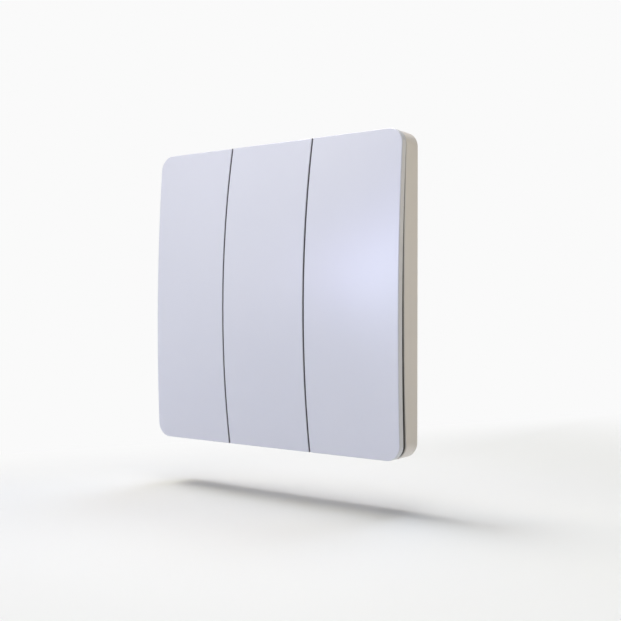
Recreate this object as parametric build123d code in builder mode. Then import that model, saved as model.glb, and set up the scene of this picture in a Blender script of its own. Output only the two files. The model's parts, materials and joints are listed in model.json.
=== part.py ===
from build123d import *
import os

os.makedirs("parts", exist_ok=True)

# A wall switch with three tall crowned keys, run by a coin cell. Lengths are in millimetres.
# The wall is the plane Y = 0 and the room is at -Y. X runs right seen from the room, Z runs up.
# Depths are counted from the wall towards the room, so a point at depth d lies at Y = -d.

# Outline and crown, shared by the housing rim, the carrier and the keys
side = 86.0  # square outline
corner_radius = 4.2
least_corner = 0.6  # smallest plan radius of an inner outline
edge_bow = 1.5  # the left and right edges stand out this much at mid height
centre_bow = 4.0  # the same on the centre line; top and bottom edges are straight
crown_sections = 3
crown_margin = 1.0  # crowned blocks reach past the outline and are trimmed to it

# Keys
key_count = 3
seam = 0.4
face_depth = 8.0  # of the crowned face at its top and bottom edges, with the key shut
face_edge_radius = 0.25
key_lip = 1.9  # thickness that shows at the key's edge
key_wall = 1.5
lip_width = 1.3
rest_angle = 0.84  # a resting key stands open by this angle at the bottom
key_travel = 0.45  # a pressed key has turned back by this angle
key_rib_depth = 2.4  # below the face
key_rib_width = 0.8
rib_gauge = 9.6  # between a key's two long ribs
rib_inset = 14.0  # from the key's top and bottom edges to the long ribs' ends
cross_rib_count = 3
cross_rib_pitch = 20.0
bond = 0.3  # ribs and posts start this far inside the wall that carries them

# Key hinges: a bar in the carrier, two open clips on each key
hinge_inset = 6.0  # below the top edge
hinge_depth = 5.1
bar_radius = 0.9
clip_play = 0.05  # radial
clip_thickness = 0.8
clip_width = 3.4
clip_gauge = 16.0  # between a key's two clips
clip_stem = 1.8
clip_mouth = 1.5
clip_mouth_flare = 2.6
clip_window_gap = 0.7  # beside and past the clip
bar_bond = 0.8  # each end of the bar runs this far into the carrier

# Key catches near the bottom edge
hook_inset = 6.8  # above the bottom edge
hook_thickness = 1.6
hook_width = 5.0
hook_lip = 1.1
hook_lip_thickness = 0.9
hook_play = 0.08
catch_depth = 4.8
catch_thickness = 1.0
catch_bar = 1.4
hook_window_gap = 0.6

# Housing
housing_wall = 1.4
rim_depth = 5.8  # of the side wall at the top and bottom edges
rim_bow = 1.3  # of the side wall's arched edges, at mid height
rim_land = 0.3  # width of the rim outside the rabbet that the carrier lies in
rim_edge_radius = 0.15
back_edge_radius = 0.35
floor_back = 1.8
floor_thickness = 1.2
ledge_width = 1.0
ledge_depth = 4.2
carrier_gap = 0.15  # carrier to rim
carrier_thickness = 1.1
dust_gap = 0.35  # from the carrier's dust wall to the inside of a pressed key
dust_wall = 0.8
dust_play = 0.7  # beside the keys' lips and ribs
joint_gap = 0.05  # flat faces that are screwed together

# Wall plate
plate_thickness = 1.6
plate_gap = 0.25  # plate edge to side wall
screw_pitch = 60.0
slot_width = 4.2
slot_length = 8.0
countersink = 0.8
window_margin = 3.8  # round the cell's cover
window_to_tape = 0.45
catch_pitch = 44.0
bump_length = 9.0
bump_height = 0.7
bump_bite = 0.4
bump_gap = 0.1
slit_length = 15.0
slit_width = 1.0
slit_inset = 2.6
tape_width = 56.0
tape_height = 7.5
tape_inset = 3.4
tape_thickness = 0.6
tape_gap = 0.1
relief_depth = 1.4  # room in the floor for the wall screws' heads
relief_length = 13.0
relief_width = 9.6
relief_wall = 0.8
pry_width = 10.0
pry_depth = 1.2
pocket_depth = 0.5  # lightening pockets in the plate's back
pocket_count = 3
pocket_web = 2.0
pocket_corner = 1.5
pocket_inset = 4.8  # from the plate's left and right edges
pocket_to_tape = 2.5
pocket_to_window = 10.4
arrow_width = 3.6  # moulded mark that points to the top
arrow_height = 3.0
arrow_depth = 0.3
arrow_drop = 1.5  # below the window
pin_mark_radius = 1.4  # marks of the mould's ejector pins
pin_mark_depth = 0.15
pin_mark_inset = 8.0  # from the plate's left and right edges
pin_mark_gap = 2.0  # above the pockets, and below the upper tape

# Screws that hold the carrier in the housing
post_inset = 5.5
post_drop = 14.0  # from the top and bottom edges
post_radius = 3.2
boss_radius = 2.2
screw_head_radius = 1.9
screw_head_height = 1.0
screw_radius = 1.0
screw_gap = 0.1
screw_bite = 1.7
thread_gap = 0.01
recess_sides = 6
recess_radius = 0.95
recess_depth = 0.6

# Circuit board
board_back = 4.4
board_thickness = 0.8
board_to_post = 1.3
board_top_inset = 16.0  # from the outline's edges
board_bottom_inset = 12.0
board_corner = 1.5
standoff_inset = 6.0  # from the board's left and right edges
standoff_top_inset = 5.0
standoff_bottom_inset = 7.0
standoff_radius = 2.2
board_screw_radius = 0.7
board_screw_head = 1.35
board_screw_head_height = 0.7
board_screw_length = 1.9
pin_radius = 0.8
pin_x = 13.0
pin_inset = 3.0  # above the board's bottom edge

# Coin cell and its cover
cell_radius = 10.0
cell_thickness = 3.2
cell_edge = 0.4  # chamfers of the can
cap_radius = 8.8
cap_step = 0.25
cell_gap = 0.1
board_hole_gap = 0.7
cover_thickness = 1.0
cover_flange = 0.8
cover_overhang = 0.15  # past the lugs
cover_play = 0.1
ring_gap = 0.35
ring_wall = 0.75
lug_count = 3
lug_length = 0.95
lug_span = 24.0
lug_notch_play = 4.0  # degrees
lug_thickness = 0.8
lug_start = 90.0
cover_turn = 40.0
well_ledge = 0.6
well_wall = 1.1
coin_slot_length = 12.0
coin_slot_width = 1.8
coin_slot_depth = 0.55
mark_radius = 0.6
mark_depth = 0.2
mark_place = 9.0

# Contacts
leaf_thickness = 0.2
leaf_width = 5.0
leaf_foot = 3.0
leaf_stand = 1.6  # leaf to cell edge
leaf_gap = 0.02
clip_leaf_gap = 0.03
clip_leaf_span = 50.0
clip_leaf_foot_span = 18.0
clip_leaf_foot = 2.6
clip_leaf_back = 3.4

# Push switches under the keys
switch_height = -8.0
switch_side = 6.2
switch_case_height = 1.8
switch_case_floor = 0.5
switch_chamfer = 0.5
switch_pocket = 2.3
terminal_width = 1.0
terminal_reach = 0.9
terminal_thickness = 0.2
terminal_pitch = 4.5
cover_plate = 0.25
cover_leg_width = 3.0
cover_leg_length = 1.3
dome_radius = 2.05
dome_rise = 0.45
dome_thickness = 0.1
dome_gap = 0.02
stem_radius = 1.6
stem_play = 0.15
stem_stand = 1.15  # above the cover plate
flange_radius = 2.1
flange_thickness = 0.4
flange_gap = 0.05
nose_radius = 0.8
nose_gap = 0.04
switch_window = 7.8
switch_window_corner = 1.0
pusher_radius = 1.3
pusher_gap = 0.05

# Parts on the board
radio_to_contact = 0.9
radio_height = 5.5
radio_width = 12.0
radio_length = 15.0
radio_thickness = 0.6
shield_width = 10.0
shield_length = 9.0
shield_rise = 0.95
shield_wall = 0.2
shield_shift = -2.0
capacitor_inset = 12.0  # from the board's left edge
capacitor_height = 8.0
capacitor_radius = 2.2
capacitor_rise = 1.5
capacitor_base = 0.4
led_height = -17.0
led_length = 1.6
led_width = 0.8
led_rise = 0.6
led_hole = 0.8
chip_length = 1.6
chip_width = 0.8
chip_rise = 0.5
chip_pitch = 2.4
chip_rows = 2
chip_columns = 4
radio_chips = 3

# Places worked out from the sizes above
half = side / 2
past_front = face_depth + centre_bow + 2 * crown_margin  # clear of every surface
key_pitch = (side + seam) / key_count
hinge_height = half - hinge_inset
hook_height = hook_inset - half
post_height = half - post_drop
rib_length = side - 2 * rib_inset
dust_inset = lip_width + dust_play
cross_rib_width = key_pitch - seam - 2 * (dust_inset + dust_wall + dust_play)
key_places = {"left": -key_pitch, "centre": 0.0, "right": key_pitch}
floor_front = floor_back + floor_thickness
carrier_depth = ledge_depth + joint_gap + carrier_thickness  # crowned front, at its top edge
board_front = board_back + board_thickness
cell_back = floor_back + cover_thickness + cell_gap
cell_front = cell_back + cell_thickness
case_front = board_front + switch_case_height
plate_front = case_front + cover_plate
stem_front = plate_front + stem_stand
ring_inner = cell_radius + ring_gap
ring_outer = ring_inner + ring_wall
lug_outer = ring_outer + lug_length
cover_radius = lug_outer + cover_overhang
ledge_back = floor_back + cover_flange + joint_gap
ledge_front = ledge_back + well_ledge
lug_front = ledge_front + joint_gap + lug_thickness
well_radius = cover_radius + cover_play
well_front = board_back - joint_gap
plate_side = side - 2 * (housing_wall + plate_gap)
tape_middle = plate_side / 2 - tape_inset - tape_height / 2
window_radius = cover_radius + window_margin
cell_height = tape_middle - tape_height / 2 - window_to_tape - window_radius
window_foot = cell_height - window_radius
pocket_top = window_foot - pocket_to_window
pocket_bottom = pocket_to_tape + tape_height / 2 - tape_middle
pocket_pitch = (plate_side - 2 * pocket_inset + pocket_web) / pocket_count
arrow_foot = window_foot - arrow_drop - arrow_height
pin_mark_top = tape_middle - tape_height / 2 - pin_mark_gap - pin_mark_radius
pin_mark_bottom = pocket_top + pin_mark_gap + pin_mark_radius
board_width = side - 2 * (post_inset + post_radius + board_to_post)
board_top = half - board_top_inset
board_bottom = board_bottom_inset - half
standoff_x = board_width / 2 - standoff_inset
standoff_top = board_top - standoff_top_inset
standoff_bottom = board_bottom + standoff_bottom_inset
pin_height = board_bottom + pin_inset
leaf_side = cell_radius + leaf_stand
radio_x = leaf_side + leaf_foot + radio_to_contact + radio_width / 2
capacitor_x = capacitor_inset - board_width / 2

# Frames: local x is X, local y is Z and local z is the depth. The keys are drawn shut, in a
# frame that is swung open about their hinge.
wall_frame = Plane.XZ
hinge_axis = Location((0, -hinge_depth, hinge_height))
key_swing = hinge_axis * Location((0, 0, 0), (-rest_angle, 0, 0)) * hinge_axis.inverse()
key_frame = Plane(key_swing * wall_frame.location)
pressed_swing = hinge_axis * Location((0, 0, 0), (key_travel - rest_angle, 0, 0)) * hinge_axis.inverse()
pressed_frame = Plane(pressed_swing * wall_frame.location)
cell_frame = Plane(origin=(0, 0, cell_height), x_dir=(1, 0, 0), z_dir=(0, -1, 0))
cell_section = Plane(origin=(0, 0, cell_height), x_dir=(1, 0, 0), z_dir=(0, 0, -1))
cell_axis = Axis((0, 0, cell_height), (0, 1, 0))


def side_plane(x, frame=wall_frame):
    """The plane across the object at x. Its local x runs up and its local y runs outwards."""
    return Plane(origin=frame.from_local_coords((x, 0, 0)), x_dir=frame.y_dir, z_dir=frame.x_dir)


def crown(x, z):
    """How far a crowned surface stands out at a place, above its top and bottom edges."""
    bow = edge_bow + (centre_bow - edge_bow) * (1 - (x / half) ** 2)
    return bow * (1 - (z / half) ** 2)


def inner_corner(inset):
    """Plan radius of the outline moved inwards."""
    return max(corner_radius - inset, least_corner)


def crowned_block(depth, frame=wall_frame):
    """All that lies behind a crowned surface, which has this depth at its top edge."""
    reach = half + crown_margin
    with BuildPart() as block:
        for step in range(crown_sections):
            x = reach * (2 * step / (crown_sections - 1) - 1)
            end = depth + crown(x, reach)
            with BuildSketch(side_plane(x, frame)):
                with BuildLine():
                    Polyline((-reach, end), (-reach, 0), (reach, 0), (reach, end))
                    ThreePointArc((-reach, end), (0, depth + crown(x, 0)), (reach, end))
                make_face()
        loft()
    return block.part


def outline_block(inset, start, end, frame=wall_frame):
    """The rounded square outline, moved inwards and drawn out between two depths."""
    with BuildPart() as block:
        with BuildSketch(frame.offset(start)):
            RectangleRounded(side - 2 * inset, side - 2 * inset, inner_corner(inset))
        extrude(amount=end - start)
    return block.part


def hollowed_front(depth, inset):
    """All that lies in front of a crowned surface, inside the outline moved inwards."""
    with BuildPart() as block:
        add(outline_block(inset, depth / 2, past_front))
        add(crowned_block(depth), mode=Mode.SUBTRACT)
    return block.part


def ring_sector(plane, inner, outer, middle, span, height):
    """Part of a ring about the cell's axis, with its angles in degrees."""
    first = middle - span / 2
    with BuildPart() as sector:
        with BuildSketch(plane):
            with BuildLine():
                far = CenterArc((0, 0), outer, first, span)
                near = CenterArc((0, 0), inner, first, span)
                Line(far @ 0, near @ 0)
                Line(far @ 1, near @ 1)
            make_face()
        extrude(amount=height)
    return sector.part


# Housing: a tray with an arched rim, a floor set in from the back and a rabbet for the carrier
with BuildPart() as housing:
    with BuildSketch(side_plane(-half)):
        with BuildLine():
            Polyline((-half, rim_depth), (-half, 0), (half, 0), (half, rim_depth))
            ThreePointArc((-half, rim_depth), (0, rim_depth + rim_bow), (half, rim_depth))
        make_face()
    extrude(amount=side)
    add(outline_block(0, 0, past_front), mode=Mode.INTERSECT)
    fillet(housing.faces().sort_by(Axis.Y)[0].edges(), rim_edge_radius)
    fillet(housing.faces().sort_by(Axis.Y)[-1].edges(), back_edge_radius)
    add(outline_block(housing_wall, 0, floor_back), mode=Mode.SUBTRACT)
    add(outline_block(housing_wall + ledge_width, floor_front, past_front), mode=Mode.SUBTRACT)
    add(outline_block(housing_wall, ledge_depth, past_front), mode=Mode.SUBTRACT)
    add(hollowed_front(ledge_depth, rim_land), mode=Mode.SUBTRACT)

    # Well of the coin cell, with a ledge that the cover's lugs turn behind
    with BuildSketch(cell_frame.offset(floor_back)):
        Circle(well_radius + well_wall)
    extrude(amount=well_front - floor_back)
    with BuildSketch(cell_frame.offset(ledge_front)):
        Circle(well_radius)
    extrude(amount=well_front - ledge_front, mode=Mode.SUBTRACT)
    with BuildSketch(cell_frame.offset(floor_back)):
        Circle(ring_outer + cover_play)
    extrude(amount=ledge_front - floor_back, mode=Mode.SUBTRACT)
    with BuildSketch(cell_frame.offset(floor_back)):
        Circle(cover_radius + cover_play)
    extrude(amount=ledge_back - floor_back, mode=Mode.SUBTRACT)
    for turn in range(lug_count):
        notch_middle = lug_start - cover_turn + turn * 360 / lug_count
        notch_span = lug_span + 2 * lug_notch_play
        notch_plane = cell_frame.offset(ledge_back)
        add(
            ring_sector(notch_plane, ring_outer, well_radius, notch_middle, notch_span, well_ledge),
            mode=Mode.SUBTRACT,
        )

    # Relief for the heads of the wall screws
    with BuildSketch(wall_frame.offset(floor_front)):
        with GridLocations(screw_pitch, 0, 2, 1):
            SlotOverall(relief_length + 2 * relief_wall, relief_width + 2 * relief_wall)
    extrude(amount=floor_back + relief_depth + relief_wall - floor_front)
    with BuildSketch(wall_frame.offset(floor_back)):
        with GridLocations(screw_pitch, 0, 2, 1):
            SlotOverall(relief_length, relief_width)
    extrude(amount=relief_depth, mode=Mode.SUBTRACT)

    # Posts and head pockets of the four screws
    with BuildSketch(wall_frame.offset(floor_front)):
        with GridLocations(side - 2 * post_inset, 2 * post_height, 2, 2):
            Circle(post_radius)
    extrude(amount=ledge_depth - floor_front)
    with BuildSketch(wall_frame.offset(floor_back)):
        with GridLocations(side - 2 * post_inset, 2 * post_height, 2, 2):
            Circle(screw_head_radius + screw_gap)
    extrude(amount=floor_thickness, mode=Mode.SUBTRACT)
    with BuildSketch(wall_frame.offset(floor_front)):
        with GridLocations(side - 2 * post_inset, 2 * post_height, 2, 2):
            Circle(screw_radius + screw_gap)
    extrude(amount=ledge_depth - floor_front, mode=Mode.SUBTRACT)

    # Standoffs under the board
    with BuildSketch(wall_frame.offset(floor_front)):
        with Locations((0, (standoff_top + standoff_bottom) / 2)):
            with GridLocations(2 * standoff_x, standoff_top - standoff_bottom, 2, 2):
                Circle(standoff_radius)
    extrude(amount=board_back - floor_front)
    with BuildSketch(wall_frame.offset(board_back)):
        with Locations((0, (standoff_top + standoff_bottom) / 2)):
            with GridLocations(2 * standoff_x, standoff_top - standoff_bottom, 2, 2):
                Circle(board_screw_radius + thread_gap)
    extrude(amount=board_thickness - board_screw_length - joint_gap, mode=Mode.SUBTRACT)

    # Grooves for the wall plate's bumps, and a notch to pry the switch off its plate
    groove_depth = (plate_thickness - bump_height) / 2 - bump_gap
    with BuildSketch(wall_frame.offset(groove_depth)):
        with GridLocations(catch_pitch, side - 2 * housing_wall, 2, 2):
            Rectangle(bump_length + 2 * bump_gap, 2 * (bump_bite + bump_gap))
    extrude(amount=bump_height + 2 * bump_gap, mode=Mode.SUBTRACT)
    with BuildSketch(wall_frame):
        with Locations((0, -half)):
            Rectangle(pry_width, 2 * housing_wall)
    extrude(amount=pry_depth, mode=Mode.SUBTRACT)

housing.part.label = "rear_housing"
export_step(housing.part, "parts/rear_housing.step")

# Wall plate: a thin square plate that the housing snaps over
with BuildPart() as wall_plate:
    with BuildSketch(wall_frame):
        RectangleRounded(plate_side, plate_side, inner_corner(housing_wall + plate_gap))
        with Locations((0, cell_height)):
            Circle(window_radius, mode=Mode.SUBTRACT)
        with GridLocations(screw_pitch, 0, 2, 1):
            SlotOverall(slot_length, slot_width, mode=Mode.SUBTRACT)
        with GridLocations(catch_pitch, plate_side - 2 * slit_inset, 2, 2):
            SlotOverall(slit_length, slit_width, mode=Mode.SUBTRACT)
    extrude(amount=plate_thickness)
    slot_mouths = (
        wall_plate.edges()
        .group_by(Axis.Y)[0]
        .filter_by(lambda edge: abs(edge.center().Z) <= slot_width / 2)
        .filter_by(lambda edge: abs(edge.center().X) <= (screw_pitch + slot_length) / 2)
        .filter_by(lambda edge: abs(edge.center().X) > window_radius)
    )
    chamfer(slot_mouths, countersink)
    with BuildSketch(wall_frame.offset((plate_thickness - bump_height) / 2)):
        with GridLocations(catch_pitch, plate_side, 2, 2):
            Rectangle(bump_length, 2 * (plate_gap + bump_bite))
    extrude(amount=bump_height)
    with BuildSketch(wall_frame):
        with GridLocations(0, 2 * tape_middle, 1, 2):
            RectangleRounded(tape_width, tape_height, least_corner)
    extrude(amount=tape_thickness, mode=Mode.SUBTRACT)
    with BuildSketch(wall_frame):
        with Locations((0, (pocket_top + pocket_bottom) / 2)):
            with GridLocations(pocket_pitch, 0, pocket_count, 1):
                RectangleRounded(pocket_pitch - pocket_web, pocket_top - pocket_bottom, pocket_corner)
    extrude(amount=pocket_depth, mode=Mode.SUBTRACT)
    with BuildSketch(wall_frame):
        with Locations((0, arrow_foot)):
            Polygon((-arrow_width / 2, 0), (arrow_width / 2, 0), (0, arrow_height), align=None)
    extrude(amount=arrow_depth, mode=Mode.SUBTRACT)
    with BuildSketch(wall_frame):
        with Locations((0, (pin_mark_top + pin_mark_bottom) / 2)):
            with GridLocations(plate_side - 2 * pin_mark_inset, pin_mark_top - pin_mark_bottom, 2, 2):
                Circle(pin_mark_radius)
    extrude(amount=pin_mark_depth, mode=Mode.SUBTRACT)
wall_plate.part.label = "wall_plate"
export_step(wall_plate.part, "parts/wall_plate.step")

# Foam tape in the plate's two recesses
for place, height in {"top": tape_middle, "bottom": -tape_middle}.items():
    with BuildPart() as tape_pad:
        with BuildSketch(wall_frame):
            with Locations((0, height)):
                RectangleRounded(tape_width - 2 * tape_gap, tape_height - 2 * tape_gap, least_corner)
        extrude(amount=tape_thickness)
    tape_pad.part.label = f"tape_pad_{place}"
    export_step(tape_pad.part, f"parts/tape_pad_{place}.step")

# Cover of the coin cell: a disc with a ring and three lugs, turned with a coin
with BuildPart() as battery_cover:
    with BuildSketch(cell_frame.offset(floor_back)):
        Circle(cover_radius)
    extrude(amount=cover_flange)
    with BuildSketch(cell_frame.offset(floor_back)):
        Circle(ring_outer)
    extrude(amount=lug_front - floor_back)
    with BuildSketch(cell_frame.offset(floor_back + cover_thickness)):
        Circle(ring_inner)
    extrude(amount=lug_front - floor_back - cover_thickness, mode=Mode.SUBTRACT)
    for turn in range(lug_count):
        lug_middle = lug_start + turn * 360 / lug_count
        lug_plane = cell_frame.offset(lug_front - lug_thickness)
        lug_root = (ring_inner + ring_outer) / 2
        add(ring_sector(lug_plane, lug_root, lug_outer, lug_middle, lug_span, lug_thickness))
    with BuildSketch(cell_frame.offset(floor_back)):
        SlotOverall(coin_slot_length, coin_slot_width)
    extrude(amount=coin_slot_depth, mode=Mode.SUBTRACT)
    with BuildSketch(cell_frame.offset(floor_back)):
        with Locations((0, mark_place)):
            Circle(mark_radius)
    extrude(amount=mark_depth, mode=Mode.SUBTRACT)
battery_cover.part.label = "battery_cover"
export_step(battery_cover.part, "parts/battery_cover.step")

# Coin cell: a can that closes round a smaller cap
with BuildPart() as coin_cell:
    with BuildSketch(cell_section):
        with BuildLine():
            can_start = (cell_radius - cell_edge, cell_back)
            can_side = (cell_radius, cell_back + cell_edge)
            can_lip = (cell_radius, cell_front - cell_edge - cap_step)
            cap_foot = (cap_radius, cell_front - cap_step)
            can_end = (cell_radius - cell_edge, cell_front - cap_step)
            cap_end = (cap_radius, cell_front)
            middle = [(0, cell_front), (0, cell_back)]
            Polyline(can_start, can_side, can_lip, can_end, cap_foot, cap_end, *middle, close=True)
        make_face()
    revolve(axis=cell_axis)
coin_cell.part.label = "coin_cell"
export_step(coin_cell.part, "parts/coin_cell.step")

# Negative contact: a strip bent over the front of the cell, with a foot on each side
with BuildPart() as contact_negative:
    with BuildSketch(cell_section.offset(-leaf_width / 2)):
        with BuildLine():
            strip_foot = board_front
            strip_top = cell_front + leaf_gap
            Polyline(
                (-leaf_side - leaf_foot, strip_foot),
                (-leaf_side, strip_foot),
                (-leaf_side, strip_top),
                (leaf_side, strip_top),
                (leaf_side, strip_foot),
                (leaf_side + leaf_foot, strip_foot),
                (leaf_side + leaf_foot, strip_foot + leaf_thickness),
                (leaf_side + leaf_thickness, strip_foot + leaf_thickness),
                (leaf_side + leaf_thickness, strip_top + leaf_thickness),
                (-leaf_side - leaf_thickness, strip_top + leaf_thickness),
                (-leaf_side - leaf_thickness, strip_foot + leaf_thickness),
                (-leaf_side - leaf_foot, strip_foot + leaf_thickness),
                close=True,
            )
        make_face()
    extrude(amount=leaf_width)
contact_negative.part.label = "contact_negative"
export_step(contact_negative.part, "parts/contact_negative.step")

# Positive contact: a curved strip that bears on the side of the can
strip_radius = cell_radius + clip_leaf_gap
with BuildPart() as contact_positive:
    add(
        ring_sector(
            cell_frame.offset(clip_leaf_back),
            strip_radius,
            strip_radius + leaf_thickness,
            lug_start,
            clip_leaf_span,
            board_front + leaf_thickness - clip_leaf_back,
        )
    )
    add(
        ring_sector(
            cell_frame.offset(board_front),
            strip_radius,
            strip_radius + clip_leaf_foot,
            lug_start,
            clip_leaf_foot_span,
            leaf_thickness,
        )
    )
contact_positive.part.label = "contact_positive"
export_step(contact_positive.part, "parts/contact_positive.step")

# Circuit board with a round hole for the cell
with BuildPart() as circuit_board:
    with BuildSketch(wall_frame.offset(board_back)):
        with Locations((0, (board_top + board_bottom) / 2)):
            RectangleRounded(board_width, board_top - board_bottom, board_corner)
        with Locations((0, cell_height)):
            Circle(cell_radius + board_hole_gap, mode=Mode.SUBTRACT)
        with Locations((0, (standoff_top + standoff_bottom) / 2)):
            with GridLocations(2 * standoff_x, standoff_top - standoff_bottom, 2, 2):
                Circle(board_screw_radius + screw_gap, mode=Mode.SUBTRACT)
    extrude(amount=board_thickness)
circuit_board.part.label = "circuit_board"
export_step(circuit_board.part, "parts/circuit_board.step")

# Four small screws that hold the board on its standoffs
with BuildPart() as board_screws:
    with BuildSketch(wall_frame.offset(board_front)):
        with Locations((0, (standoff_top + standoff_bottom) / 2)):
            with GridLocations(2 * standoff_x, standoff_top - standoff_bottom, 2, 2):
                Circle(board_screw_head)
    extrude(amount=board_screw_head_height)
    with BuildSketch(wall_frame.offset(board_front)):
        with Locations((0, (standoff_top + standoff_bottom) / 2)):
            with GridLocations(2 * standoff_x, standoff_top - standoff_bottom, 2, 2):
                Circle(board_screw_radius)
    extrude(amount=-board_screw_length)
board_screws.part.label = "board_screws"
export_step(board_screws.part, "parts/board_screws.step")

# Four screws that come in from the back and hold the carrier
with BuildPart() as housing_screws:
    with BuildSketch(wall_frame.offset(floor_front - screw_head_height)):
        with GridLocations(side - 2 * post_inset, 2 * post_height, 2, 2):
            Circle(screw_head_radius)
    extrude(amount=screw_head_height)
    with BuildSketch(wall_frame.offset(floor_front)):
        with GridLocations(side - 2 * post_inset, 2 * post_height, 2, 2):
            Circle(screw_radius)
    extrude(amount=ledge_depth + screw_bite - floor_front)
    with BuildSketch(wall_frame.offset(floor_front - screw_head_height)):
        with GridLocations(side - 2 * post_inset, 2 * post_height, 2, 2):
            RegularPolygon(recess_radius, recess_sides)
    extrude(amount=recess_depth, mode=Mode.SUBTRACT)
housing_screws.part.label = "housing_screws"
export_step(housing_screws.part, "parts/housing_screws.step")

# Push switches: case, snap dome, plunger and cover plate under each key
dome_foot = board_front + switch_case_floor + dome_gap
dome_top = dome_foot + dome_rise + dome_thickness
dome_curve = (dome_radius**2 + dome_rise**2) / (2 * dome_rise)  # radius of its section
for place, x in key_places.items():
    switch_frame = Plane(origin=(x, 0, switch_height), x_dir=(1, 0, 0), z_dir=(0, -1, 0))
    switch_section = Plane(origin=(x, 0, switch_height), x_dir=(1, 0, 0), z_dir=(0, 0, -1))
    switch_axis = Axis((x, 0, switch_height), (0, 1, 0))

    with BuildPart() as switch_case:
        with BuildSketch(switch_frame.offset(board_front)):
            Rectangle(switch_side, switch_side)
        extrude(amount=switch_case_height)
        chamfer(switch_case.edges().filter_by(Axis.Y), switch_chamfer)
        with BuildSketch(switch_frame.offset(board_front + switch_case_floor)):
            Circle(switch_pocket)
        extrude(amount=switch_case_height - switch_case_floor, mode=Mode.SUBTRACT)
        with BuildSketch(switch_frame.offset(board_front)):
            with GridLocations(switch_side, terminal_pitch, 2, 2):
                Rectangle(2 * terminal_reach, terminal_width)
        extrude(amount=terminal_thickness)
    switch_case.part.label = f"switch_case_{place}"
    export_step(switch_case.part, f"parts/switch_case_{place}.step")

    with BuildPart() as switch_dome:
        with BuildSketch(switch_section):
            with BuildLine():
                foot = (dome_radius, dome_foot)
                crest = (0, dome_foot + dome_rise)
                outer_foot = (dome_radius, dome_foot + dome_thickness)
                outer_crest = (0, dome_top)
                RadiusArc(foot, crest, -dome_curve)
                RadiusArc(outer_foot, outer_crest, -dome_curve)
                Line(foot, outer_foot)
                Line(crest, outer_crest)
            make_face()
        revolve(axis=switch_axis)
    switch_dome.part.label = f"switch_dome_{place}"
    export_step(switch_dome.part, f"parts/switch_dome_{place}.step")

    with BuildPart() as switch_plunger:
        with BuildSketch(switch_section):
            with BuildLine():
                flange_front = case_front - flange_gap
                flange_back = flange_front - flange_thickness
                nose_back = dome_top + nose_gap
                Polyline(
                    (0, nose_back),
                    (nose_radius, nose_back),
                    (nose_radius, flange_back),
                    (flange_radius, flange_back),
                    (flange_radius, flange_front),
                    (stem_radius, flange_front),
                    (stem_radius, stem_front),
                    (0, stem_front),
                    close=True,
                )
            make_face()
        revolve(axis=switch_axis)
    switch_plunger.part.label = f"switch_plunger_{place}"
    export_step(switch_plunger.part, f"parts/switch_plunger_{place}.step")

    with BuildPart() as switch_cover:
        with BuildSketch(switch_frame.offset(case_front)):
            Rectangle(switch_side + 2 * cover_plate, switch_side)
        extrude(amount=cover_plate)
        with BuildSketch(switch_frame.offset(case_front)):
            with GridLocations(switch_side + cover_plate, 0, 2, 1):
                Rectangle(cover_plate, cover_leg_width)
        extrude(amount=-cover_leg_length)
        with BuildSketch(switch_frame.offset(case_front)):
            Circle(stem_radius + stem_play)
        extrude(amount=cover_plate, mode=Mode.SUBTRACT)
    switch_cover.part.label = f"switch_cover_{place}"
    export_step(switch_cover.part, f"parts/switch_cover_{place}.step")

# Radio module: a small board with a shield can
with BuildPart() as radio_board:
    with BuildSketch(wall_frame.offset(board_front)):
        with Locations((radio_x, radio_height)):
            Rectangle(radio_width, radio_length)
    extrude(amount=radio_thickness)
radio_board.part.label = "radio_board"
export_step(radio_board.part, "parts/radio_board.step")

with BuildPart() as radio_shield:
    with BuildSketch(wall_frame.offset(board_front + radio_thickness)):
        with Locations((radio_x, radio_height + shield_shift)):
            RectangleRounded(shield_width, shield_length, least_corner)
    extrude(amount=shield_rise)
    shield_back = radio_shield.faces().sort_by(Axis.Y)[-1]
    offset(amount=-shield_wall, openings=shield_back)
radio_shield.part.label = "radio_shield"
export_step(radio_shield.part, "parts/radio_shield.step")

# Buffer capacitor: a low can on a square base
with BuildPart() as buffer_capacitor:
    with BuildSketch(wall_frame.offset(board_front)):
        with Locations((capacitor_x, capacitor_height)):
            Rectangle(2 * capacitor_radius, 2 * capacitor_radius)
    extrude(amount=capacitor_base)
    with BuildSketch(wall_frame.offset(board_front + capacitor_base)):
        with Locations((capacitor_x, capacitor_height)):
            Circle(capacitor_radius)
    extrude(amount=capacitor_rise - capacitor_base)
buffer_capacitor.part.label = "buffer_capacitor"
export_step(buffer_capacitor.part, "parts/buffer_capacitor.step")

# Status lamp under the seam between the left and centre keys
led_x = -key_pitch / 2
with BuildPart() as status_led:
    with BuildSketch(wall_frame.offset(board_front)):
        with Locations((led_x, led_height)):
            Rectangle(led_length, led_width)
    extrude(amount=led_rise)
status_led.part.label = "status_led"
export_step(status_led.part, "parts/status_led.step")

# Small chips in two rows below the switches and one beside the radio
with BuildPart() as chip_parts:
    with BuildSketch(wall_frame.offset(board_front)):
        with Locations((0, led_height)):
            with GridLocations(chip_pitch, chip_pitch, chip_columns, chip_rows):
                Rectangle(chip_length, chip_width)
        with Locations((radio_x, led_height)):
            with GridLocations(chip_pitch, chip_pitch, radio_chips, 1):
                Rectangle(chip_width, chip_length)
    extrude(amount=chip_rise)
chip_parts.part.label = "chip_parts"
export_step(chip_parts.part, "parts/chip_parts.step")

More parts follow.
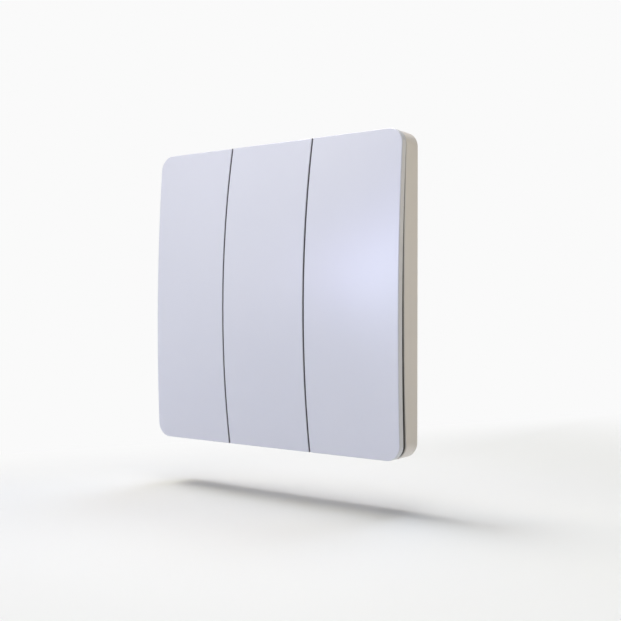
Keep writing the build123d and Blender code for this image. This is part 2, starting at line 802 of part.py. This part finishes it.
# Carrier: a crowned sheet under the keys, with their hinge bars and catches
clip_radius = bar_radius + clip_play + clip_thickness
clip_window = clip_width + 2 * clip_window_gap
hook_foot = hook_height - hook_thickness / 2
hook_head = hook_height + hook_thickness / 2
catch_head = hook_foot - hook_play
hook_window = hook_width + 2 * hook_window_gap
with BuildPart() as key_carrier:
    add(crowned_block(carrier_depth))
    add(crowned_block(carrier_depth - carrier_thickness), mode=Mode.SUBTRACT)
    add(outline_block(rim_land + carrier_gap, 0, past_front), mode=Mode.INTERSECT)

    # Dust wall behind the keys' edges, open where the lips along the seams come down
    with BuildSketch(wall_frame):
        dust_side = side - 2 * dust_inset
        RectangleRounded(dust_side, dust_side, inner_corner(dust_inset))
        RectangleRounded(
            dust_side - 2 * dust_wall,
            dust_side - 2 * dust_wall,
            inner_corner(dust_inset + dust_wall),
            mode=Mode.SUBTRACT,
        )
        with GridLocations(key_pitch, 0, key_count - 1, 1):
            Rectangle(seam + 2 * (lip_width + dust_play), side, mode=Mode.SUBTRACT)
    dust_walls = extrude(amount=past_front, mode=Mode.PRIVATE)
    dust_top = crowned_block(face_depth - key_wall - dust_gap, pressed_frame)
    add(dust_walls & dust_top - crowned_block(carrier_depth - carrier_thickness / 2))

    # Bosses for the housing screws, and pins that hold the board down
    with BuildSketch(wall_frame.offset(ledge_depth + joint_gap)):
        with GridLocations(side - 2 * post_inset, 2 * post_height, 2, 2):
            Circle(boss_radius)
    extrude(amount=crown(half - post_inset, post_height) + carrier_thickness / 2)
    with BuildSketch(wall_frame.offset(ledge_depth + joint_gap)):
        with GridLocations(side - 2 * post_inset, 2 * post_height, 2, 2):
            Circle(screw_radius + thread_gap)
    extrude(amount=screw_bite + joint_gap, mode=Mode.SUBTRACT)
    with BuildSketch(wall_frame.offset(board_front + joint_gap)):
        with Locations((pin_x, pin_height), (-pin_x, pin_height)):
            Circle(pin_radius)
    extrude(until=Until.NEXT)

    # Windows: clips and hooks of the keys, plungers of the switches, light of the lamp
    with BuildSketch(wall_frame):
        for x in key_places.values():
            with Locations((x, hinge_height)):
                with GridLocations(clip_gauge, 0, 2, 1):
                    Rectangle(clip_window, 2 * (clip_radius + clip_window_gap))
            with Locations((x, (catch_head + hook_head + hook_window_gap) / 2)):
                Rectangle(hook_window, hook_head + hook_window_gap - catch_head)
            with Locations((x, switch_height)):
                RectangleRounded(switch_window, switch_window, switch_window_corner)
        with Locations((led_x, led_height)):
            Circle(led_hole)
    extrude(amount=past_front, mode=Mode.SUBTRACT)

    # A flat-backed catch below each hook window, and the hinge bars across the clip windows
    with BuildSketch(wall_frame):
        for x in key_places.values():
            with Locations((x, catch_head - catch_bar / 2)):
                Rectangle(hook_window, catch_bar)
    extrude(amount=catch_depth, mode=Mode.SUBTRACT)
    with BuildSketch(wall_frame.offset(catch_depth)):
        for x in key_places.values():
            with Locations((x, catch_head - catch_bar / 2)):
                Rectangle(hook_window, catch_bar)
    extrude(amount=catch_thickness)
    for x in key_places.values():
        for clip_x in (x - clip_gauge / 2, x + clip_gauge / 2):
            with BuildSketch(side_plane(clip_x - clip_window / 2 - bar_bond)):
                with Locations((hinge_height, hinge_depth)):
                    Circle(bar_radius)
            extrude(amount=clip_window + 2 * bar_bond)
key_carrier.part.label = "key_carrier"
export_step(key_carrier.part, "parts/key_carrier.step")

# Three crowned key shells in one, parted along the seams
with BuildPart() as key_shells:
    add(crowned_block(face_depth, key_frame))
    with BuildSketch(key_frame):
        RectangleRounded(side, side, corner_radius)
        with GridLocations(key_pitch, 0, key_count - 1, 1):
            Rectangle(seam, side, mode=Mode.SUBTRACT)
    extrude(amount=past_front, mode=Mode.INTERSECT)
    fillet(key_shells.faces().sort_by(Axis.Y)[:key_count].edges(), face_edge_radius)
    add(crowned_block(face_depth - key_lip, key_frame), mode=Mode.SUBTRACT)

# The hollows behind the three faces, inside the lip that runs round each key
with BuildPart() as key_hollows:
    add(crowned_block(face_depth - key_wall, key_frame))
    with BuildSketch(key_frame):
        RectangleRounded(side - 2 * lip_width, side - 2 * lip_width, inner_corner(lip_width))
        with GridLocations(key_pitch, 0, key_count - 1, 1):
            Rectangle(seam + 2 * lip_width, side, mode=Mode.SUBTRACT)
    extrude(amount=past_front, mode=Mode.INTERSECT)

# Stiffening ribs that follow the crown
with BuildPart() as key_ribs:
    with BuildSketch(key_frame):
        for x in key_places.values():
            with Locations((x, 0)):
                with GridLocations(rib_gauge, 0, 2, 1):
                    Rectangle(key_rib_width, rib_length)
                with GridLocations(0, cross_rib_pitch, 1, cross_rib_count):
                    Rectangle(cross_rib_width, key_rib_width)
    extrude(amount=past_front)
    add(crowned_block(face_depth - key_wall + bond, key_frame), mode=Mode.INTERSECT)
    add(crowned_block(face_depth - key_rib_depth, key_frame), mode=Mode.SUBTRACT)

# Each key: its shell and ribs, two hinge clips, a pusher over the switch and a hook
key_width = key_pitch - seam
hook_front = key_frame.to_local_coords(Vector(0, hook_play - catch_depth, hook_foot)).Z
hook_back = hook_front - hook_lip_thickness
pusher_back = key_frame.to_local_coords(Vector(0, -stem_front - pusher_gap, switch_height)).Z
for index, (place, x) in enumerate(key_places.items()):
    with BuildPart() as key:
        add(key_shells.part.solids().sort_by(Axis.X)[index])
        add(key_hollows.part.solids().sort_by(Axis.X)[index], mode=Mode.SUBTRACT)
        for rib_set in key_ribs.part.solids():
            if abs(rib_set.center().X - x) < key_width / 2:
                add(rib_set)

        # Open clips that snap over the hinge bars
        for clip_x in (x - clip_gauge / 2, x + clip_gauge / 2):
            stem_top = face_depth - key_wall + bond + crown(clip_x, hinge_height)
            with BuildSketch(side_plane(clip_x - clip_width / 2, key_frame)):
                with Locations((hinge_height, hinge_depth)):
                    Circle(clip_radius)
                with Locations((hinge_height, (hinge_depth + stem_top) / 2)):
                    Rectangle(clip_stem, stem_top - hinge_depth)
                with Locations((hinge_height, hinge_depth)):
                    Circle(bar_radius + clip_play, mode=Mode.SUBTRACT)
                with BuildLine():
                    mouth_end = hinge_depth - clip_radius
                    Polyline(
                        (hinge_height - clip_mouth / 2, hinge_depth),
                        (hinge_height - clip_mouth_flare / 2, mouth_end),
                        (hinge_height + clip_mouth_flare / 2, mouth_end),
                        (hinge_height + clip_mouth / 2, hinge_depth),
                        close=True,
                    )
                make_face(mode=Mode.SUBTRACT)
            extrude(amount=clip_width)

        # Pusher, with its end just clear of the plunger
        with BuildSketch(key_frame.offset(pusher_back)):
            with Locations((x, switch_height)):
                Circle(pusher_radius)
        extrude(amount=face_depth - key_wall + bond + crown(x, switch_height) - pusher_back)

        # Hook, which catches behind the carrier and stops the key at rest
        with BuildSketch(key_frame.offset(hook_back)):
            with Locations((x, hook_height)):
                Rectangle(hook_width, hook_thickness)
        extrude(amount=face_depth - key_wall + bond + crown(x, hook_height) - hook_back)
        with BuildSketch(key_frame.offset(hook_back)):
            with Locations((x, hook_foot - hook_lip / 2)):
                Rectangle(hook_width, hook_lip)
        extrude(amount=hook_lip_thickness)
        lip_edges = key.edges().filter_by(Axis.X).sort_by(Axis.Y)[-2:]
        chamfer(lip_edges.sort_by(Axis.Z)[0], hook_lip_thickness / 2)
    key.part.label = f"key_{place}"
    export_step(key.part, f"parts/key_{place}.step")
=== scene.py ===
import json
from math import cos, pi, radians, sin

import bmesh
import bpy
from mathutils import Matrix, Vector


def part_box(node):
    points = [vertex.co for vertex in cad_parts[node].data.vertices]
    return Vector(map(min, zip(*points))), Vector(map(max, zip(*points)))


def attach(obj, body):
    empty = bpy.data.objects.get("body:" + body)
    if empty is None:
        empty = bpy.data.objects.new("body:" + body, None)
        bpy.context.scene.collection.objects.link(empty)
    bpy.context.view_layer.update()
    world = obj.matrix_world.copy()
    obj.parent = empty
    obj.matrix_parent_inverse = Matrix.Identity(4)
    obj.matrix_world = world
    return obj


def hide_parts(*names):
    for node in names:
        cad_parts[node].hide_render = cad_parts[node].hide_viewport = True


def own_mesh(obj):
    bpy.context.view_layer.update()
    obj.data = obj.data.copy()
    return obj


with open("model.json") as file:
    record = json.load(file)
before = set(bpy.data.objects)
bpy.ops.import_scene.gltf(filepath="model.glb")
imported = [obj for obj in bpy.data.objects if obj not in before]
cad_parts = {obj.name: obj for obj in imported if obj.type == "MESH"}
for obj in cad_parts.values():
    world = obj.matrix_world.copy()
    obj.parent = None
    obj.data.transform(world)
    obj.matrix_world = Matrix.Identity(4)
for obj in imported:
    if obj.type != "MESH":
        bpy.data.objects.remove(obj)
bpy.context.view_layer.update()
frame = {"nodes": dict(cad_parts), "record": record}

nodes = frame["nodes"]
print("frame loaded:", len(nodes), "CAD nodes")


# one socket of a shader, so that maths reads as maths
class Socket:
    def __init__(self, tree, link):
        self.tree = tree
        self.link = link

    # any node: its settings first, then its sockets, then the output that is asked for
    def node(self, kind, settings=None, sockets=None, out=0):
        made = self.tree.nodes.new(kind)
        for key, value in (settings or {}).items():
            setattr(made, key, value)
        for key, value in (sockets or {}).items():
            if isinstance(value, Socket):
                value.into(made.inputs[key])
            else:
                made.inputs[key].default_value = value
        return Socket(self.tree, made.outputs[out])

    def into(self, socket):
        self.tree.links.new(self.link, socket)

    def math(self, operation, a, b=0.0):
        return self.node("ShaderNodeMath", {"operation": operation}, {0: a, 1: b})

    def __add__(self, other):
        return self.math("ADD", self, other)

    def __radd__(self, other):
        return self.math("ADD", other, self)

    def __sub__(self, other):
        return self.math("SUBTRACT", self, other)

    def __rsub__(self, other):
        return self.math("SUBTRACT", other, self)

    def __mul__(self, other):
        return self.math("MULTIPLY", self, other)

    def __rmul__(self, other):
        return self.math("MULTIPLY", other, self)

    def smooth(self, low, high):
        ends = {"Value": self, "From Min": low, "From Max": high}
        return self.node("ShaderNodeMapRange", {"interpolation_type": "SMOOTHSTEP"}, ends)

    # between two colours, by this mask
    def mix(self, first, second):
        a, b = (end if isinstance(end, Socket) else (*end, 1.0) for end in (first, second))
        return self.node("ShaderNodeMix", {"data_type": "RGBA"}, {0: self, 6: a, 7: b}, out=2)

    def noise(self, scale, detail=2.0, rough=0.5):
        sockets = {"Vector": self, "Scale": scale, "Detail": detail, "Roughness": rough}
        return self.node("ShaderNodeTexNoise", None, sockets)

    def bump(self, depth, strength=1.0):
        sockets = {"Height": self, "Distance": depth, "Strength": strength}
        return self.node("ShaderNodeBump", None, sockets)


# a material with its Principled shader, and a start for its maths in object coordinates
def newMaterial(name):
    material = bpy.data.materials.new(name)
    material.use_nodes = True
    tree = material.node_tree
    shader = tree.nodes["Principled BSDF"]
    place = Socket(tree, tree.nodes.new("ShaderNodeTexCoord").outputs["Object"])
    return material, shader, place


def dress(shader, colour, roughness, bump):
    colour.into(shader.inputs["Base Color"])
    roughness.into(shader.inputs["Roughness"])
    bump.into(shader.inputs["Normal"])


# moulded plastic: a fine spark-eroded grain, and a little drift in colour and in gloss. On the
# keys, painted shade darkens the walls that face each other across a seam
def mouldedPlastic(name, look, seam=None):
    material, shader, place = newMaterial(name)
    cloud = place.noise(look["cloudScale"], look["cloudDetail"])
    grain = place.noise(look["grainScale"], rough=look["grainRough"])
    colour = cloud.smooth(look["driftFrom"], look["driftTo"]).mix(look["low"], look["high"])
    # painted shade: the colour turns dark grey on the walls that face each other across a seam
    if seam:
        across = place.node("ShaderNodeSeparateXYZ", None, {0: place})
        away = place.math("ABSOLUTE", place.math("ABSOLUTE", across) - seam["middle"])
        clear = away.smooth(seam["half"] + seam["darkPast"], seam["half"] + seam["clearPast"])
        colour = clear.mix(seam["colour"], colour)
    drift = look["roughness"] + look["roughDrift"] * (cloud - 0.5)
    roughness = drift + look["roughGrain"] * (grain - 0.5)
    dress(shader, colour, roughness, grain.bump(look["grainDepth"]))
    shader.inputs["IOR"].default_value = look["ior"]
    return material


mouldLook = {
    "cloudDetail": 3.0, "driftFrom": 0.3, "driftTo": 0.7, "grainRough": 0.6, "ior": 1.49,
}
keyLook = dict(
    mouldLook, low=(0.688, 0.699, 0.747), high=(0.702, 0.712, 0.758),
    cloudScale=30.0, grainScale=5200.0, grainDepth=0.0000025,
    roughness=0.30, roughDrift=0.03, roughGrain=0.06)
housingLook = dict(
    mouldLook, low=(0.765, 0.727, 0.688), high=(0.785, 0.746, 0.708),
    cloudScale=40.0, grainScale=4200.0, grainDepth=0.000005,
    roughness=0.46, roughDrift=0.04, roughGrain=0.08)
# the carrier is dark grey plastic, and its darkness is also painted shade for the gaps round the
# keys
carrierLook = dict(housingLook, low=(0.20, 0.20, 0.196), high=(0.215, 0.215, 0.21), roughness=0.55)
plateLook = dict(housingLook, low=(0.745, 0.715, 0.68), high=(0.765, 0.735, 0.70), roughness=0.52)
coverLook = dict(housingLook, low=(0.70, 0.68, 0.655), high=(0.72, 0.70, 0.675), roughness=0.5)
switchLook = dict(
    housingLook, low=(0.018, 0.018, 0.019), high=(0.026, 0.026, 0.027), roughness=0.5)
plungerLook = dict(housingLook, low=(0.42, 0.17, 0.09), high=(0.46, 0.20, 0.11), roughness=0.5)
lampLook = dict(keyLook, low=(0.85, 0.82, 0.55), high=(0.92, 0.90, 0.66), roughness=0.15)
chipLook = dict(housingLook, low=(0.10, 0.07, 0.05), high=(0.17, 0.13, 0.10), roughness=0.4)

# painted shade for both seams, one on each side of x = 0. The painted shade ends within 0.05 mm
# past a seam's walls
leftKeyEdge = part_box("key_left")[1][0]
seamHalf = (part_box("key_centre")[0][0] - leftKeyEdge) / 2
paintedSeamShade = {
    "colour": (0.28, 0.28, 0.29), "middle": -(leftKeyEdge + seamHalf), "half": seamHalf,
    "darkPast": 0.00001, "clearPast": 0.00005,  # metres
}
finishes = {
    "key_plastic": mouldedPlastic("keyPlasticSeamShade", keyLook, paintedSeamShade),
    "housing_plastic": mouldedPlastic("housingPlastic", housingLook),
    "carrier_plastic": mouldedPlastic("carrierPlastic", carrierLook),
    "plate_plastic": mouldedPlastic("platePlastic", plateLook),
    "cover_plastic": mouldedPlastic("coverPlastic", coverLook),
    "switch_plastic": mouldedPlastic("switchPlastic", switchLook),
    "plunger_plastic": mouldedPlastic("plungerPlastic", plungerLook),
    "lamp_resin": mouldedPlastic("lampResin", lampLook),
    "chip_ceramic": mouldedPlastic("chipCeramic", chipLook),
}
print("plastics ready")


# closed-cell foam tape: cells, with a finer noise over them
foamLook = {
    "low": (0.055, 0.055, 0.06), "high": (0.15, 0.15, 0.155),
    "cellScale": 2600.0, "cellEdge": 0.6, "cellShare": 0.7, "fineScale": 5720.0, "fineShare": 0.3,
    "depth": 0.00006, "strength": 0.7, "roughness": 0.8, "roughFine": 0.15,
}


def foamTape(name, look):
    material, shader, place = newMaterial(name)
    cells = place.node("ShaderNodeTexVoronoi", None, {"Vector": place, "Scale": look["cellScale"]})
    fine = place.noise(look["fineScale"])
    rise = look["cellShare"] * cells.smooth(0.0, look["cellEdge"]) + look["fineShare"] * fine
    colour = rise.mix(look["low"], look["high"])
    roughness = look["roughness"] + look["roughFine"] * fine
    dress(shader, colour, roughness, rise.bump(look["depth"], look["strength"]))
    return material


finishes["tape_foam"] = foamTape("tapeFoam", foamLook)


# sheet and turned metal: fine lines drawn out along x, and duller patches
metalLook = {
    "stretch": (0.08, 1.0, 1.0), "lineScale": 5000.0, "lineDetail": 3.0, "lineRough": 0.6,
    "lineDepth": 0.000004, "strength": 0.6, "dullScale": 700.0,
    "roughLines": 0.12, "roughDull": 0.08,
}


def drawnMetal(name, look):
    material, shader, place = newMaterial(name)
    mapped = place.node("ShaderNodeMapping", None, {"Vector": place, "Scale": look["stretch"]})
    lines = mapped.noise(look["lineScale"], look["lineDetail"], look["lineRough"])
    dull = place.noise(look["dullScale"])
    lined = look["roughness"] + look["roughLines"] * (lines - 0.5)
    roughness = lined + look["roughDull"] * (dull - 0.5)
    colour = lines.mix(look["low"], look["high"])
    dress(shader, colour, roughness, lines.bump(look["lineDepth"], look["strength"]))
    shader.inputs["Metallic"].default_value = 1.0
    return material


# by slot: the material's name, its darkest and its palest colour, and its roughness
metals = {
    "screw_steel": ("screwSteel", (0.50, 0.51, 0.53), (0.62, 0.62, 0.63), 0.32),
    "contact_steel": ("contactSteel", (0.66, 0.64, 0.58), (0.76, 0.74, 0.68), 0.26),
    "cell_steel": ("cellSteel", (0.62, 0.62, 0.62), (0.74, 0.74, 0.74), 0.22),
    "shield_steel": ("shieldSteel", (0.66, 0.66, 0.65), (0.76, 0.76, 0.75), 0.3),
    "capacitor_can": ("capacitorCan", (0.70, 0.71, 0.72), (0.80, 0.80, 0.81), 0.28),
}
for slotName, (name, low, high, roughness) in metals.items():
    look = dict(metalLook, low=low, high=high, roughness=roughness)
    finishes[slotName] = drawnMetal(name, look)


# green solder mask with paler tracks under it, laid out as bricks in x and z
boardLook = {
    "mask": (0.012, 0.085, 0.04), "track": (0.03, 0.16, 0.075), "laid": (pi / 2, 0, 0),
    "brickScale": 300.0, "brickShift": 0.5, "brickWidth": 0.9, "brickHeight": 0.35,
    "trackWidth": 0.03, "trackDepth": 0.00002, "strength": 0.5,
    "weaveScale": 3000.0, "roughness": 0.3, "roughWeave": 0.1,
}


def boardLaminate(name, look):
    material, shader, place = newMaterial(name)
    mapped = place.node("ShaderNodeMapping", None, {"Vector": place, "Rotation": look["laid"]})
    bricks = {
        "Vector": mapped, "Scale": look["brickScale"], "Mortar Size": look["trackWidth"],
        "Brick Width": look["brickWidth"], "Row Height": look["brickHeight"],
    }
    tracks = place.node("ShaderNodeTexBrick", {"offset": look["brickShift"]}, bricks, out=1)
    colour = tracks.mix(look["mask"], look["track"])
    roughness = look["roughness"] + look["roughWeave"] * place.noise(look["weaveScale"])
    dress(shader, colour, roughness, tracks.bump(look["trackDepth"], look["strength"]))
    return material


finishes["board_laminate"] = boardLaminate("boardLaminate", boardLook)
for part in frame["record"]["subparts"]:
    for slot in nodes[part["node"]].material_slots:
        slot.material = finishes[part["material_slot"]]
print("all nodes dressed:", len(finishes), "finishes")

# snap domes: welded copies of the CAD ones
domeSetup = {
    "foot": -0.00572, "keep": 0.4,  # metres along y, and the share of the height that stays
    "weld": 0.000002, "crease": 0.6,  # metres and radians
}
for key in ("left", "centre", "right"):
    node = nodes["switch_dome_" + key]
    shape = bmesh.new()
    shape.from_mesh(node.data)
    bmesh.ops.remove_doubles(shape, verts=shape.verts, dist=domeSetup["weld"])
    for face in shape.faces:
        face.smooth = True
    for edge in shape.edges:
        edge.smooth = edge.calc_face_angle(0.0) < domeSetup["crease"]
    mesh = bpy.data.meshes.new("snapDome" + key.title())
    shape.to_mesh(mesh)
    shape.free()
    mesh.materials.append(finishes["contact_steel"])
    dome = bpy.data.objects.new(mesh.name, mesh)
    bpy.context.scene.collection.objects.link(dome)
    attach(dome, "base")
    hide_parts(node.name)
    low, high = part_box(node.name)
    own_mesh(dome)
print("snap domes ready")

# camera at the photograph's viewing angle
cameraSetup = {
    "lens": 54.031, "sensor": 36.0,  # millimetres
    "turn": 36.055, "pitch": 0.181, "roll": -0.060,  # degrees
    "aside": 0.006497, "back": 0.270315, "below": 0.003386,  # metres, from the origin
    "clipStart": 0.005,  # metres
}
turn, pitch, roll = (radians(cameraSetup[key]) for key in ("turn", "pitch", "roll"))
up = Vector((0, 0, 1))
right = Vector((cos(turn), sin(turn), 0))
forward = Vector((-sin(turn), cos(turn), 0))
place = cameraSetup["aside"] * right - cameraSetup["back"] * forward - cameraSetup["below"] * up
tippedUp = cos(pitch) * up + sin(pitch) * forward
tippedForward = cos(pitch) * forward - sin(pitch) * up
rolledRight = cos(roll) * right - sin(roll) * tippedUp
rolledUp = sin(roll) * right + cos(roll) * tippedUp
cameraData = bpy.data.cameras.new("photoCamera")
cameraData.lens = cameraSetup["lens"]
cameraData.sensor_width = cameraSetup["sensor"]
cameraData.clip_start = cameraSetup["clipStart"]
camera = bpy.data.objects.new("photoCamera", cameraData)
turned = Matrix((rolledRight, rolledUp, -tippedForward)).transposed()
camera.matrix_world = Matrix.Translation(place) @ turned.to_4x4()
bpy.context.scene.collection.objects.link(camera)
bpy.context.scene.camera = camera
bpy.context.scene.view_settings.view_transform = "Standard"
print("camera ready")

# pale floor that fades into the background far away
floorSetup = {
    "height": -0.057, "size": 30.0,  # metres, as are the distances of the fades
    "albedo": (0.80, 0.80, 0.80), "roughness": 0.9, "specular": 0.0,
    "background": (0.956, 0.956, 0.956), "fadeFrom": 0.08, "fadeTo": 0.27,
    "behindFrom": 0.035, "behindTo": 0.125, "lean": 0.5,
}
bpy.ops.mesh.primitive_plane_add(size=floorSetup["size"], location=(0, 0, floorSetup["height"]))
floor = bpy.context.object
floor.name = "studioFloor"
paper, paperShader, place = newMaterial("studioPaper")
paperShader.inputs["Base Color"].default_value = (*floorSetup["albedo"], 1.0)
paperShader.inputs["Roughness"].default_value = floorSetup["roughness"]
paperShader.inputs["Specular IOR Level"].default_value = floorSetup["specular"]
distance = place.node("ShaderNodeVectorMath", {"operation": "LENGTH"}, {0: place}, out=1)
away = distance.smooth(floorSetup["fadeFrom"], floorSetup["fadeTo"])
# it fades sooner behind the object, and soonest behind its left side
leaning = {0: place, 1: forward - floorSetup["lean"] * right}
behind = place.node("ShaderNodeVectorMath", {"operation": "DOT_PRODUCT"}, leaning, out=1)
far = place.math("MAXIMUM", away, behind.smooth(floorSetup["behindFrom"], floorSetup["behindTo"]))
near = Socket(place.tree, paperShader.outputs[0])
glow = place.node("ShaderNodeEmission", None, {"Color": (*floorSetup["background"], 1.0)})
faded = place.node("ShaderNodeMixShader", None, {0: far, 1: near, 2: glow})
faded.into(place.tree.nodes["Material Output"].inputs["Surface"])
floor.data.materials.append(paper)
print("floor ready")

# the surround is pale where the camera sees it, and gives no light
surround = {"light": (0.0, 0.0, 0.0), "seen": (0.956, 0.956, 0.956)}
world = bpy.data.worlds.new("studioSurround")
bpy.context.scene.world = world
world.use_nodes = True
world.node_tree.nodes.clear()
path = world.node_tree.nodes.new("ShaderNodeLightPath")
cameraRay = Socket(world.node_tree, path.outputs["Is Camera Ray"])
lit = cameraRay.node("ShaderNodeBackground", None, {"Color": (*surround["light"], 1.0)})
seen = cameraRay.node("ShaderNodeBackground", None, {"Color": (*surround["seen"], 1.0)})
chosen = cameraRay.node("ShaderNodeMixShader", None, {0: cameraRay, 1: lit, 2: seen})
chosen.into(world.node_tree.nodes.new("ShaderNodeOutputWorld").inputs["Surface"])

# soft studio light. Azimuths go from -Y towards +X, in degrees, as are elevations and angles
suns = {
    "mainLight": {
        "azimuth": -90.0, "elevation": 65.0, "strength": 1.177, "angle": 24.0,
        "colour": (1.0, 0.915, 0.716)},
    "mainMiddle": {
        "azimuth": -90.0, "elevation": 70.0, "strength": 0.454, "angle": 12.0,
        "colour": (0.725, 0.881, 1.0)},
    "frontHigh": {
        "azimuth": 0.0, "elevation": 82.0, "strength": 0.375, "angle": 24.0,
        "colour": (0.861, 0.984, 1.0)},
    "backHigh": {
        "azimuth": 180.0, "elevation": 62.0, "strength": 0.74, "angle": 24.0,
        "colour": (0.739, 0.83, 1.0)},
    "leftBack": {
        "azimuth": -135.0, "elevation": 62.0, "strength": 0.248, "angle": 24.0,
        "colour": (1.0, 0.835, 0.46)},
    "leftLow": {
        "azimuth": -45.0, "elevation": 12.0, "strength": 0.715, "angle": 40.0,
        "colour": (1.0, 0.978, 0.934)},
    "rightBack": {
        "azimuth": 135.0, "elevation": 12.0, "strength": 0.583, "angle": 40.0,
        "colour": (1.0, 0.823, 0.482)},
}
# softboxes, in metres from the origin: two are mirrored in the right key as a bluish sheen, and
# three stand close above the object, so that the fronts darken downwards
softboxes = {
    "glowMiddle": {
        "azimuth": -17.0, "elevation": 5.6, "distance": 1.6, "width": 0.45, "height": 0.22,
        "power": 5.967, "colour": (0.693, 0.783, 1.0)},
    "glowLeft": {
        "azimuth": -22.0, "elevation": 7.0, "distance": 1.6, "width": 0.35, "height": 0.25,
        "power": 1.122, "colour": (0.334, 0.142, 1.0)},
    "closeRight": {
        "azimuth": 30.0, "elevation": 70.0, "distance": 0.2, "width": 0.12, "height": 0.12,
        "power": 0.0918, "colour": (1.0, 0.944, 0.895)},
    "closeLeft": {
        "azimuth": -90.0, "elevation": 72.0, "distance": 0.22, "width": 0.12, "height": 0.12,
        "power": 0.0963, "colour": (0.645, 0.648, 1.0)},
    "closeBack": {
        "azimuth": 180.0, "elevation": 80.0, "distance": 0.22, "width": 0.12, "height": 0.12,
        "power": 0.0495, "colour": (0.8, 0.806, 1.0)},
}


# a light that looks at the origin
def placeLight(name, kind, setup):
    azimuth, elevation = radians(setup["azimuth"]), radians(setup["elevation"])
    towards = Vector((
        sin(azimuth) * cos(elevation), -cos(azimuth) * cos(elevation), sin(elevation)))
    data = bpy.data.lights.new(name, kind)
    data.color = setup["colour"]
    light = bpy.data.objects.new(name, data)
    aimed = towards.to_track_quat("Z", "Y").to_matrix().to_4x4()
    light.matrix_world = Matrix.Translation(towards * setup.get("distance", 0.0)) @ aimed
    light.visible_camera = False
    bpy.context.scene.collection.objects.link(light)
    return data


for name, sun in suns.items():
    data = placeLight(name, "SUN", sun)
    data.energy = sun["strength"]
    data.angle = radians(sun["angle"])
for name, softbox in softboxes.items():
    data = placeLight(name, "AREA", softbox)
    data.energy = softbox["power"]
    data.shape = "ELLIPSE"
    data.size = softbox["width"]
    data.size_y = softbox["height"]
print("studio ready")
